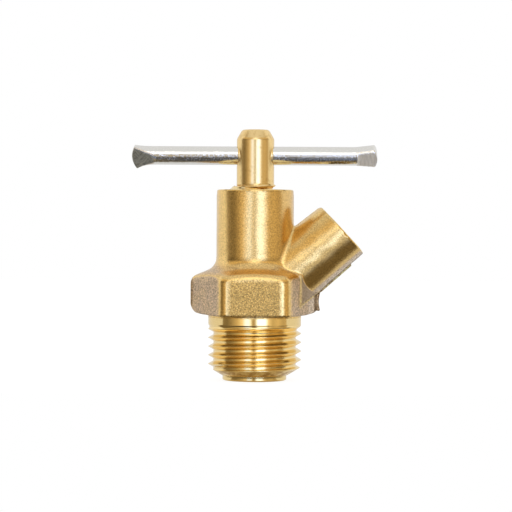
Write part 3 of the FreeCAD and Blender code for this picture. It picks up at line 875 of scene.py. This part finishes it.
class BarForm:
    """The tommy bar with its pinched ends as a distance field."""

    # How the left end's spread gathers towards its tip, and how far the right ledge starts over the bar
    LEFT_CURVE = 2.6
    LEDGE_PROUD = 0.2

    def __init__(self, sizes):
        self.s = sizes

    def spread_end(self, y, z, spread, turn, wide, thick, shift):
        """The oval end, and the distances across and along the press's stroke."""
        s = self.s
        z = z - s.axis_z
        across = -y * math.sin(turn) + z * math.cos(turn)
        stroke = -y * math.cos(turn) - z * math.sin(turn)
        wide = s.bar_r + (wide - s.bar_r) * spread
        thick = s.bar_r + (thick - s.bar_r) * spread
        oval = np.hypot((across - shift * spread) / wide, stroke / thick) - 1
        return oval * np.minimum(wide, thick), across, stroke

    def round_off(self, solid, past, across, radius):
        """The end with a round outline, where past is the distance beyond the outline's middle."""
        outline = np.hypot(np.maximum(past, 0), across) - radius
        return np.where(past > 0, smooth_max(solid, outline, self.s.edge), solid)

    def left(self, x, y, z):
        """Left end with two long facets."""
        s = self.s
        spread = np.clip((-s.flare_x - x) / (-s.flare_x - s.left_x), 0, 1) ** self.LEFT_CURVE
        solid, across, stroke = self.spread_end(
            y, z, spread, s.left_turn, s.left_wide, s.left_thick, s.left_shift)
        run = (x - s.left_facet_x) * -math.sin(s.left_facet_fall)
        for side in (1, -1):
            facet = run + (side * stroke - s.bar_r) * math.cos(s.left_facet_fall)
            solid = smooth_max(solid, facet, s.edge)
        return self.round_off(solid, s.left_x + s.left_round - x, across, s.left_round)

    def right(self, x, y, z):
        """Right end with two flats, each behind a short ledge."""
        s = self.s
        spread = np.clip((x - s.flare_x) / (s.right_x - s.flare_x), 0, 1)
        solid, across, stroke = self.spread_end(
            y, z, spread, s.right_turn, s.right_wide, s.right_thick, s.right_shift)
        ledge_top = s.bar_r + self.LEDGE_PROUD
        fall = math.atan2(ledge_top - s.right_facet_high, s.right_facet_run)
        for side in (1, -1):
            ledge = slope_field(x, side * stroke, (s.right_facet_x, ledge_top), fall)
            solid = smooth_max(solid, np.minimum(side * stroke - s.right_facet_high, ledge), s.edge)
        return self.round_off(solid, x - s.right_x + s.right_round, across, s.right_round)

    def __call__(self, x, y, z):
        s = self.s
        rod = np.hypot(y, z - s.axis_z) - s.bar_r
        ends = np.where(x < 0, self.left(x, y, z), self.right(x, y, z))
        return np.where(np.abs(x) < s.flare_x, rod, ends)


# Meshes

def skin(form, low, high, step):
    """Points and quads of the surface where a form is zero, on a grid of cubes."""
    axes = [np.arange(a, b + step, step) for a, b in zip(low, high)]
    value = form(*np.meshgrid(*axes, indexing="ij"))
    cells = tuple(n - 1 for n in value.shape)
    total = np.zeros((*cells, 3))
    count = np.zeros(cells)
    crossings = []
    for axis in range(3):
        near = value.take(range(0, cells[axis]), axis)
        far = value.take(range(1, cells[axis] + 1), axis)
        crossing = (near < 0) != (far < 0)
        share = np.where(crossing, near / np.where(crossing, near - far, 1), 0)
        crossings.append((crossing, near < 0))
        b, c = (axis + 1) % 3, (axis + 2) % 3
        for i in (0, 1):
            for j in (0, 1):
                window = [slice(None)] * 3
                window[b] = slice(i, i + cells[b])
                window[c] = slice(j, j + cells[c])
                hit = crossing[tuple(window)]
                total[..., axis] += share[tuple(window)]
                total[..., b] += hit * i
                total[..., c] += hit * j
                count += hit
    used = count > 0
    index = np.full(cells, -1)
    index[used] = np.arange(used.sum())
    points = np.argwhere(used) + total[used] / count[used][:, None]
    points = points * step + np.array([a[0] for a in axes])
    quads = []
    for axis, (crossing, inward) in enumerate(crossings):
        b, c = (axis + 1) % 3, (axis + 2) % 3
        edges = np.argwhere(crossing)
        inside = (edges[:, b] > 0) & (edges[:, b] < cells[b])
        inside &= (edges[:, c] > 0) & (edges[:, c] < cells[c])
        edges = edges[inside]
        flip = ~inward[tuple(edges.T)]
        corner = []
        for i, j in ((1, 1), (0, 1), (0, 0), (1, 0)):
            at = edges.copy()
            at[:, b] -= i
            at[:, c] -= j
            corner.append(index[tuple(at.T)])
        quad = np.stack(corner, axis=1)
        quad[flip] = quad[flip][:, ::-1]
        quads.append(quad)
    return points, np.concatenate(quads)


def settle(form, points, step, rounds=4, reach=0.02, flattest=0.05):
    """Points moved onto the surface of a form, whose slope is taken over twice the reach."""
    for _ in range(rounds):
        value = form(*points.T)
        slope = np.empty_like(points)
        for axis in range(3):
            nudge = np.zeros(3)
            nudge[axis] = reach
            slope[:, axis] = (form(*(points + nudge).T) - form(*(points - nudge).T)) / (2 * reach)
        steep = np.maximum((slope ** 2).sum(axis=1), flattest)
        move = slope * (value / steep)[:, None]
        points = points - np.clip(move, -step / 2, step / 2)
    return points


def form_mesh(bm, form, low, high, step):
    """Adds the settled surface of a form to a bmesh, in metres."""
    points, quads = skin(form, low, high, step)
    points = settle(form, points, step) * MM
    made = [bm.verts.new(p) for p in points]
    for quad in quads:
        bm.faces.new([made[i] for i in quad])


def crisp(profile, hold=0.06, longest_share=0.4):
    """The profile with a point added close to each end of its longer lines, to hold the shading."""
    points = [profile[0]]
    for (r0, z0), (r1, z1) in zip(profile, profile[1:]):
        share = hold / math.hypot(r1 - r0, z1 - z0)
        if share < longest_share:
            points += [(r0 + (r1 - r0) * t, z0 + (z1 - z0) * t) for t in (share, 1 - share)]
        points.append((r1, z1))
    return points


def turned(bm, profile, segments):
    """Adds a skin of revolution from (radius, height) points in mm; a radius of 0 closes it."""
    spokes = [(math.cos(TURN * i / segments), math.sin(TURN * i / segments)) for i in range(segments)]
    last = None
    for radius, height in crisp(profile):
        if radius == 0:
            ring = [bm.verts.new((0, 0, height * MM))]
        else:
            ring = [bm.verts.new((radius * c * MM, radius * s * MM, height * MM)) for c, s in spokes]
        if last:
            for i in range(segments):
                j = (i + 1) % segments
                corners = [last[i], last[j], ring[j % len(ring)], ring[i % len(ring)]]
                bm.faces.new(list(dict.fromkeys(corners)))
        last = ring


def open_loops(bm):
    """Loops of open edges, each with its mean radius and height in mm."""
    left = {e for e in bm.edges if e.is_boundary}
    loops = []
    while left:
        edge = left.pop()
        loop, grow = [edge], list(edge.verts)
        while grow:
            for other in grow.pop().link_edges:
                if other in left:
                    left.remove(other)
                    loop.append(other)
                    grow.extend(other.verts)
        points = np.array([v.co for e in loop for v in e.verts]) / MM
        loops.append((loop, np.hypot(points[:, 0], points[:, 1]).mean(), points[:, 2].mean()))
    return loops


def stitch(bm, radius, reach=0.6):
    """Bridges the two open loops nearest to a radius."""
    near = [row for row in open_loops(bm) if abs(row[1] - radius) < reach]
    if len(near) != 2:
        raise RuntimeError(f"expected two open loops at radius {radius}, found {len(near)}")
    bmesh.ops.bridge_loops(bm, edges=near[0][0] + near[1][0])


def thread_tree(crowding=0.8, weld=0.002 * MM):
    """Node tree of a screw thread: a helical tube whose rows crowd at its crests and roots."""
    tree = bpy.data.node_groups.new(THREAD_TREE, "GeometryNodeTree")
    floats = ["Major Radius", "Depth", "Pitch", "Crest Z", "Top Z", "Bottom Z", "Start Z", "Full Z",
              "End Z", "End Slope", "Crest Flat", "Root Flat"]
    for name in floats:
        tree.interface.new_socket(name=name, in_out="INPUT", socket_type="NodeSocketFloat")
    for name in ("Segments", "Rows"):
        tree.interface.new_socket(name=name, in_out="INPUT", socket_type="NodeSocketInt")
    tree.interface.new_socket(name="Material", in_out="INPUT", socket_type="NodeSocketMaterial")
    tree.interface.new_socket(name="Geometry", in_out="OUTPUT", socket_type="NodeSocketGeometry")
    start = Wire(tree)
    given = start.make("NodeGroupInput")
    size = {name: given.pick(name) for name in floats}
    below = start.math("CEIL", (size["Crest Z"] - size["Bottom Z"]) / size["Pitch"]) + 1
    above = start.math("CEIL", (size["Top Z"] - size["Crest Z"]) / size["Pitch"]).most(0)
    turns = below + above
    grid = start.make("GeometryNodeMeshGrid", {
        "Vertices X": given.pick("Segments") + 1,
        "Vertices Y": turns * given.pick("Rows") + 1,
    })
    x = start.make("ShaderNodeSeparateXYZ", {0: start.make("GeometryNodeInputPosition")}, "X")
    lap = x + 0.5
    climb = (x.pick("Y") + 0.5) * turns - below
    climb = climb - start.math("SINE", climb * (2 * TURN)) * (crowding / (2 * TURN))
    z = (size["Crest Z"] + (climb + lap) * size["Pitch"]).most(size["Bottom Z"]).least(size["Top Z"])
    phase = start.math("FRACT", (z - size["Crest Z"]) / size["Pitch"] - lap)
    height = abs(phase * 2 - 1)
    flank = ((height - size["Root Flat"]) / (1 - size["Root Flat"] - size["Crest Flat"])).most(0).least(1)
    cut = z.rise(size["Start Z"], size["Full Z"])
    radius = size["Major Radius"] - size["Depth"] * (1 - flank) * cut
    chamfer = size["Major Radius"] - (size["End Z"] - z).most(0) * size["End Slope"]
    radius = radius.least(chamfer)
    turn = lap * TURN
    place = start.make("ShaderNodeCombineXYZ", {
        0: radius * start.math("COSINE", turn),
        1: radius * start.math("SINE", turn),
        2: z,
    })
    tube = start.make("GeometryNodeSetPosition", {"Geometry": grid, "Position": place})
    tube = start.make("GeometryNodeMergeByDistance", {"Geometry": tube, "Distance": weld})
    tube = start.make("GeometryNodeRealizeInstances", {"Geometry": tube})
    tube = start.make("GeometryNodeSetMaterial", {"Geometry": tube, "Material": given.pick("Material")})
    start.make("NodeGroupOutput", {"Geometry": tube})
    return tree


def thread_mesh(tree, material, segments, rows, **sizes):
    """Plain mesh of the thread tree with sizes in mm, or shares where the tree asks for them."""
    shares = ("End Slope", "Crest Flat", "Root Flat")
    values = {"Segments": segments, "Rows": rows, "Material": material}
    for key, value in sizes.items():
        name = key.replace("_", " ").title()
        values[name] = value if name in shares else value * MM
    holder = bpy.data.objects.new("thread", bpy.data.meshes.new("thread"))
    bpy.context.collection.objects.link(holder)
    modifier = holder.modifiers.new("thread", "NODES")
    modifier.node_group = tree
    for item in tree.interface.items_tree:
        if item.in_out == "INPUT":
            modifier[item.identifier] = values[item.name]
    evaluated = holder.evaluated_get(bpy.context.evaluated_depsgraph_get())
    mesh = bpy.data.meshes.new_from_object(evaluated)
    bpy.data.objects.remove(holder)
    return mesh


def finish_piece(bm, name, body, replaced, materials, zone=None):
    """Closes a bmesh into a piece that stands for a CAD node and rides on its body."""
    bmesh.ops.remove_doubles(bm, verts=bm.verts, dist=MERGE)
    if any(len(e.link_faces) != 2 for e in bm.edges):
        raise RuntimeError(f"{name} isn't closed")
    bmesh.ops.recalc_face_normals(bm, faces=bm.faces)
    for face in bm.faces:
        face.smooth = True
        face.material_index = zone(face.calc_center_median() / MM) if zone else 0
    mesh = bpy.data.meshes.new(name)
    bm.to_mesh(mesh)
    bm.free()
    for material in materials:
        mesh.materials.append(material)
    piece = bpy.data.objects.new(name, mesh)
    bpy.context.collection.objects.link(piece)
    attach(piece, body)
    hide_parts(replaced)
    return piece


# Operators

class DRAINCOCK_OT_body(bpy.types.Operator):
    """Make the forged body with its male thread and waterway"""

    bl_idname = "draincock.body"
    bl_label = "Forged Body"

    # Room that the grid of cubes leaves round the forging, in mm
    ROOM = 0.6
    ROOM_LEFT = 0.7
    # How close a face lies to a bore, the mouth, the neck or the barrel's top that a tool has cut, in mm
    NEAR_BORE = 0.1
    NEAR_MOUTH = 0.12
    NEAR_NECK = 0.25
    NEAR_TOP = 0.1

    def execute(self, context):
        settings = context.scene
        s = sizes_of(settings.draincock_body)
        t = sizes_of(settings.draincock_shank)
        look = settings.draincock_finishes
        form = BodyForm(s, t.thread_r)
        half = s.hex_flats / 2 + self.ROOM
        low = (-s.hex_flats / math.sqrt(3) - self.ROOM_LEFT, -half, t.top_z + SEAM)
        high = (form.mouth[0] + s.spout_mouth_r, half, s.barrel_top + s.lip_high + self.ROOM)
        bm = bmesh.new()
        form_mesh(bm, form, low, high, s.grid)
        materials = [forged_brass(look, s), machined_brass(look, t)]
        tube = thread_mesh(
            thread_tree(), materials[1], t.segments, t.rows,
            major_radius=t.thread_r, depth=t.depth, pitch=t.pitch, crest_z=t.crest_z,
            top_z=t.top_z, bottom_z=t.chamfer_z, start_z=t.start_z, full_z=t.full_z,
            end_z=t.end_z, end_slope=(t.thread_r - t.chamfer_r) / (t.end_z - t.chamfer_z),
            crest_flat=t.crest_flat, root_flat=t.root_flat,
        )
        bm.from_mesh(tube)
        turned(bm, [
            (t.chamfer_r, t.chamfer_z),
            (t.nose_r, t.chamfer_z),
            (t.nose_r, t.nose_z + t.nose_break),
            (t.nose_r - t.nose_break, t.nose_z),
            (t.inlet_r + t.nose_break, t.nose_z),
            (t.inlet_r, t.nose_z + t.nose_break),
            (t.inlet_r, t.inlet_top),
            (t.orifice_r, t.orifice_low),
            (t.orifice_r, t.seat_low),
            (s.chamber_r, t.seat_top),
            (s.chamber_r, t.top_z),
        ], t.segments)
        bmesh.ops.remove_doubles(bm, verts=bm.verts, dist=MERGE)
        stitch(bm, t.thread_r)
        stitch(bm, s.chamber_r)

        def zone(p):
            """1 where a tool has cut the forging, otherwise 0."""
            bored = form.waterway(p.x, p.y, p.z, math.hypot(p.x, p.y)) < self.NEAR_BORE
            faced = abs(form.mouth_plane(p.x, p.z)) < self.NEAR_MOUTH or p.z > s.barrel_top - self.NEAR_TOP
            return int(bored or faced or p.z < t.top_z + self.NEAR_NECK)

        finish_piece(bm, "brass_body", "body", "valve_body", materials, zone)
        return {"FINISHED"}


class DRAINCOCK_OT_spindle(bpy.types.Operator):
    """Make the turned spindle with its thread and cross hole"""

    bl_idname = "draincock.spindle"
    bl_label = "Spindle"

    # Room that the grid of cubes leaves round the head, in mm
    ROOM = 0.5
    # The thread's fade into the shank, the chamfer at its end and the step below that, in mm
    FADE = 0.3
    LEAD = 0.5
    STEP = 0.1

    def execute(self, context):
        settings = context.scene
        s = sizes_of(settings.draincock_spindle)
        half = s.shank_r + self.ROOM
        low = (-half, -half, s.thread_top + SEAM)
        bm = bmesh.new()
        form_mesh(bm, SpindleHead(s), low, (half, half, s.shank_top + self.ROOM), s.grid)
        material = turned_brass(settings.draincock_finishes)
        tube = thread_mesh(
            bpy.data.node_groups[THREAD_TREE], material, s.segments, s.rows,
            major_radius=s.thread_r, depth=s.depth, pitch=s.pitch, crest_z=s.crest_z,
            top_z=s.thread_top, bottom_z=s.thread_low, start_z=s.thread_top + self.FADE,
            full_z=s.thread_top - self.FADE, end_z=s.thread_low + self.LEAD, end_slope=1.0,
            crest_flat=s.crest_flat, root_flat=s.root_flat,
        )
        bm.from_mesh(tube)
        turned(bm, [
            (s.thread_r - self.LEAD, s.thread_low),
            (s.land_r, s.thread_low - self.STEP),
            (s.land_r, s.groove_top),
            (s.groove_r, s.groove_top),
            (s.groove_r, s.groove_low),
            (s.land_r, s.groove_low),
            (s.land_r, s.land_low),
            (s.neck_r, s.land_low),
            (s.neck_r, s.head_top),
            (s.head_r, s.head_top),
            (s.head_r, s.head_low),
            (s.tip_r, s.tip_z),
            (0, s.tip_z),
        ], s.segments)
        bmesh.ops.remove_doubles(bm, verts=bm.verts, dist=MERGE)
        stitch(bm, s.shank_r)
        finish_piece(bm, "brass_spindle", "screw", "spindle", [material])
        return {"FINISHED"}


class DRAINCOCK_OT_bar(bpy.types.Operator):
    """Make the plated tommy bar with its pinched ends"""

    bl_idname = "draincock.bar"
    bl_label = "Tommy Bar"

    # Room that the grid of cubes leaves round the bar and past its ends, in mm
    ROOM = 0.6
    ROOM_END = 0.5

    def execute(self, context):
        settings = context.scene
        s = sizes_of(settings.draincock_bar)
        half = s.left_wide + self.ROOM
        low = (s.left_x - self.ROOM_END, -half, s.axis_z - half)
        high = (s.right_x + self.ROOM_END, half, s.axis_z + half)
        bm = bmesh.new()
        form_mesh(bm, BarForm(s), low, high, s.grid)
        material = plated_steel(settings.draincock_finishes, s)
        finish_piece(bm, "steel_bar", "bar", "tommy_bar", [material])
        return {"FINISHED"}


class DRAINCOCK_OT_seal(bpy.types.Operator):
    """Give the spindle's ring its rubber finish"""

    bl_idname = "draincock.seal"
    bl_label = "Spindle Ring"

    def execute(self, context):
        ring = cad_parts["spindle_seal"].data
        ring.materials.clear()
        ring.materials.append(black_rubber(context.scene.draincock_finishes))
        return {"FINISHED"}


class DRAINCOCK_OT_stage(bpy.types.Operator):
    """Make the pale floor, the studio light and the camera"""

    bl_idname = "draincock.stage"
    bl_label = "Stage"

    SHEET = (1.0, 1.0, 1.0)
    WARM = (1.0, 0.86, 0.62)
    WALL = (1.0, 0.80, 0.48)
    LAMP = (0.52, 0.64, 1.0)
    # Light round the horizon by degrees to the right of the camera, with its level and tint:
    # a white sheet behind, a softbox on each side of the camera, and dim warm walls between
    ROUND = [
        (-180, 0.8, SHEET), (-125, 0.95, SHEET), (-97, 1.05, SHEET), (-90, 0.3, WALL), (-72, 0.22, WALL),
        (-57, 0.4, WALL), (-43, 0.68, WALL), (-30, 1.1, WARM), (-22, 2.4, LAMP), (-14, 2.5, LAMP),
        (-9, 1.2, SHEET), (-5.5, 0.5, WALL), (-0.5, 0.5, WALL), (3, 0.85, SHEET), (6, 2.6, LAMP),
        (9, 3.9, LAMP), (25, 3.7, LAMP), (34, 1.0, WARM), (45, 0.62, WALL), (60, 0.75, WALL),
        (75, 0.55, WALL), (83, 0.6, WALL), (90, 1.05, SHEET), (125, 0.95, SHEET), (180, 0.8, SHEET),
    ]
    BRIGHTEST = 3.9
    # Zones of the floor that the metal mirrors, in mm: where each one starts and where it is full
    UNDER_SHANK = (10.5, 7.5)
    SHADED_X = (14, 20)
    SHADED_ROUND = (17, 13)
    SHADED_Y = (-11, -8)
    LAMP_RING = (8.5, 12.5, 0.8)
    LAMP_SPREAD = 1.33
    FAR = (30, 44)
    FAR_RIGHT = (0, 10)
    FAR_SHIFT = 40
    BEHIND = (1, 7)
    BEHIND_BEND = 0.12
    UNDER_BACK = (-5, -1)

    def execute(self, context):
        scene = context.scene
        s = scene.draincock_stage
        scene.view_settings.view_transform = "Standard"
        self.floor(context, s)
        self.studio(scene)
        self.camera(context, s)
        return {"FINISHED"}

    def floor(self, context, s):
        """White sheet under and behind the cock that shows only its shadow."""
        z = cad_box[0][2]
        corners = [
            (-s.floor_half, -s.floor_front, z),
            (s.floor_half, -s.floor_front, z),
            (s.floor_half, s.floor_back, z),
            (-s.floor_half, s.floor_back, z),
        ]
        mesh = bpy.data.meshes.new("floor")
        mesh.from_pydata(corners, [], [(0, 1, 2, 3)])
        material = bpy.data.materials.new("pale_floor")
        start = fresh_tree(material)
        paper = start.make("ShaderNodeBsdfDiffuse", {"Color": dimmed(0.8, self.SHEET)})
        glow = start.make("ShaderNodeEmission", {"Color": dimmed(1.0, self.SHEET), "Strength": 1.15})
        mirrored = start.make("ShaderNodeEmission", {"Color": self.mirrored_floor(start), "Strength": 1.0})
        path = start.make("ShaderNodeLightPath", out="Is Camera Ray")
        bounced = path.pick("Is Glossy Ray").most(path.pick("Is Transmission Ray"))
        pale = start.make("ShaderNodeMixShader", {0: 0.8, 1: paper, 2: glow})
        seen = start.make("ShaderNodeMixShader", {0: path, 1: paper, 2: pale})
        mixed = start.make("ShaderNodeMixShader", {0: bounced, 1: seen, 2: mirrored})
        start.make("ShaderNodeOutputMaterial", {"Surface": mixed})
        mesh.materials.append(material)
        floor = bpy.data.objects.new("floor", mesh)
        context.collection.objects.link(floor)

    def mirrored_floor(self, start):
        """Light of the floor as the metal mirrors it: shaded round the cock, bright behind it."""
        place = start.make("ShaderNodeTexCoord", out="Object").stretch(1 / MM, 1 / MM, 1 / MM)
        x = start.make("ShaderNodeSeparateXYZ", {0: place}, "X")
        y = x.pick("Y")
        out = (x * x + y * y) ** 0.5
        round_deg = start.math("ARCTAN2", x, 0 - y) * math.degrees(1)
        under = out.rise(*self.UNDER_SHANK)
        shaded = abs(x).rise(*self.SHADED_X).most(out.rise(*self.SHADED_ROUND)).most(y.rise(*self.SHADED_Y))
        light = shaded.tint(dimmed(0.085, self.SHEET), dimmed(0.17, self.WALL))
        light = under.tint(light, dimmed(0.45, self.WALL))
        lamps = out.band(*self.LAMP_RING) * 0.8
        light = lamps.tint(light, self.ring(start, round_deg * self.LAMP_SPREAD))
        far = (out - x.rise(*self.FAR_RIGHT) * self.FAR_SHIFT).rise(*self.FAR)
        light = far.tint(light, self.ring(start, round_deg))
        behind = (y + abs(x) * self.BEHIND_BEND).rise(*self.BEHIND).most(under * y.rise(*self.UNDER_BACK))
        return behind.tint(light, dimmed(0.8, self.SHEET))

    def ring(self, start, round_deg):
        """Light at the horizon by degrees to the right of the camera."""
        stops = []
        for degrees, level, tint in self.ROUND:
            stops.append(((degrees + 180) / 360, dimmed(level / self.BRIGHTEST, tint)))
        ramp = start.make("ShaderNodeValToRGB", {0: (round_deg + 180) / 360}, stops=stops)
        return ramp.stretch(self.BRIGHTEST, self.BRIGHTEST, self.BRIGHTEST)

    def studio(self, scene):
        """Round studio: white behind, softboxes beside the camera and dim gaps between."""
        scene.world = bpy.data.worlds.new("studio")
        start = fresh_tree(scene.world)
        toward = start.make("ShaderNodeTexCoord", out="Generated")
        x = start.make("ShaderNodeSeparateXYZ", {0: toward}, "X")
        round_deg = start.math("ARCTAN2", x, 0 - x.pick("Y")) * math.degrees(1)
        up_deg = start.math("ARCSINE", x.pick("Z")) * math.degrees(1)
        behind = abs(round_deg).rise(88, 97)
        right_lamp = round_deg.band(2, 36, 4)
        lift = up_deg.rise(-10, -4).most(up_deg.rise(-20, -10) * (1 - right_lamp))
        level = 0.15 + up_deg.rise(-50, -20) * 0.07
        level = level + lift * (0.26 + up_deg.rise(18, 4) * 0.52)
        light = level.most(behind).fade(self.ring(start, round_deg))
        layers = [
            (up_deg.band(-26, -8, 5) * round_deg.band(6, 32, 5), dimmed(0.75, self.SHEET)),
            (up_deg.band(24, 46, 6) * (1 - behind), dimmed(0.8, self.WALL)),
            (up_deg.band(14, 48, 4) * abs(round_deg).rise(20, 8), dimmed(1.6, self.SHEET)),
            (up_deg.rise(42, 56), dimmed(0.85, self.SHEET)),
        ]
        for mask, shade in layers:
            light = mask.tint(light, shade)
        path = start.make("ShaderNodeLightPath", out="Is Camera Ray")
        lit = start.make("ShaderNodeBackground", {"Color": light, "Strength": 1.0})
        white = start.make("ShaderNodeBackground", {"Color": dimmed(1.0, self.SHEET), "Strength": 1.0})
        mixed = start.make("ShaderNodeMixShader", {0: path, 1: lit, 2: white})
        start.make("ShaderNodeOutputWorld", {"Surface": mixed})

    def camera(self, context, s):
        """Level camera at the height of the outlet."""
        data = bpy.data.cameras.new("camera")
        data.lens = s.lens
        data.shift_x = s.shift_x
        data.shift_y = s.shift_y
        data.clip_start = s.clip_start
        camera = bpy.data.objects.new("camera", data)
        upright = Matrix.Rotation(math.pi / 2, 4, "X")
        roll = Matrix.Rotation(s.roll, 4, "Z")
        camera.matrix_world = Matrix.Translation((0, -s.distance, s.height)) @ upright @ roll
        context.collection.objects.link(camera)
        context.scene.camera = camera


class DRAINCOCK_PT_panel(bpy.types.Panel):
    """Buttons that make the cock and its stage"""

    bl_idname = "DRAINCOCK_PT_panel"
    bl_label = "Drain Cock"
    bl_space_type = "VIEW_3D"
    bl_region_type = "UI"
    bl_category = "Drain Cock"

    def draw(self, context):
        for operator in OPERATORS:
            self.layout.operator(operator.bl_idname)
        for name in SETTINGS:
            box = self.layout.box()
            group = getattr(context.scene, name)
            for prop in group.bl_rna.properties:
                if prop.type in ("FLOAT", "INT"):
                    box.prop(group, prop.identifier)


OPERATORS = [
    DRAINCOCK_OT_body,
    DRAINCOCK_OT_spindle,
    DRAINCOCK_OT_seal,
    DRAINCOCK_OT_bar,
    DRAINCOCK_OT_stage,
]
SETTINGS = {
    "draincock_body": BodySizes,
    "draincock_shank": ShankSizes,
    "draincock_spindle": SpindleSizes,
    "draincock_bar": BarSizes,
    "draincock_finishes": Finishes,
    "draincock_stage": StageSettings,
}


def register():
    for group in SETTINGS.values():
        bpy.utils.register_class(group)
    for name, group in SETTINGS.items():
        setattr(bpy.types.Scene, name, PointerProperty(type=group))
    for cls in [*OPERATORS, DRAINCOCK_PT_panel]:
        bpy.utils.register_class(cls)


def unregister():
    for cls in [DRAINCOCK_PT_panel, *reversed(OPERATORS)]:
        bpy.utils.unregister_class(cls)
    for name, group in SETTINGS.items():
        delattr(bpy.types.Scene, name)
        bpy.utils.unregister_class(group)


def main():
    register()
    bpy.ops.draincock.body()
    bpy.ops.draincock.spindle()
    bpy.ops.draincock.seal()
    bpy.ops.draincock.bar()
    bpy.ops.draincock.stage()


if __name__ == "__main__":
    main()
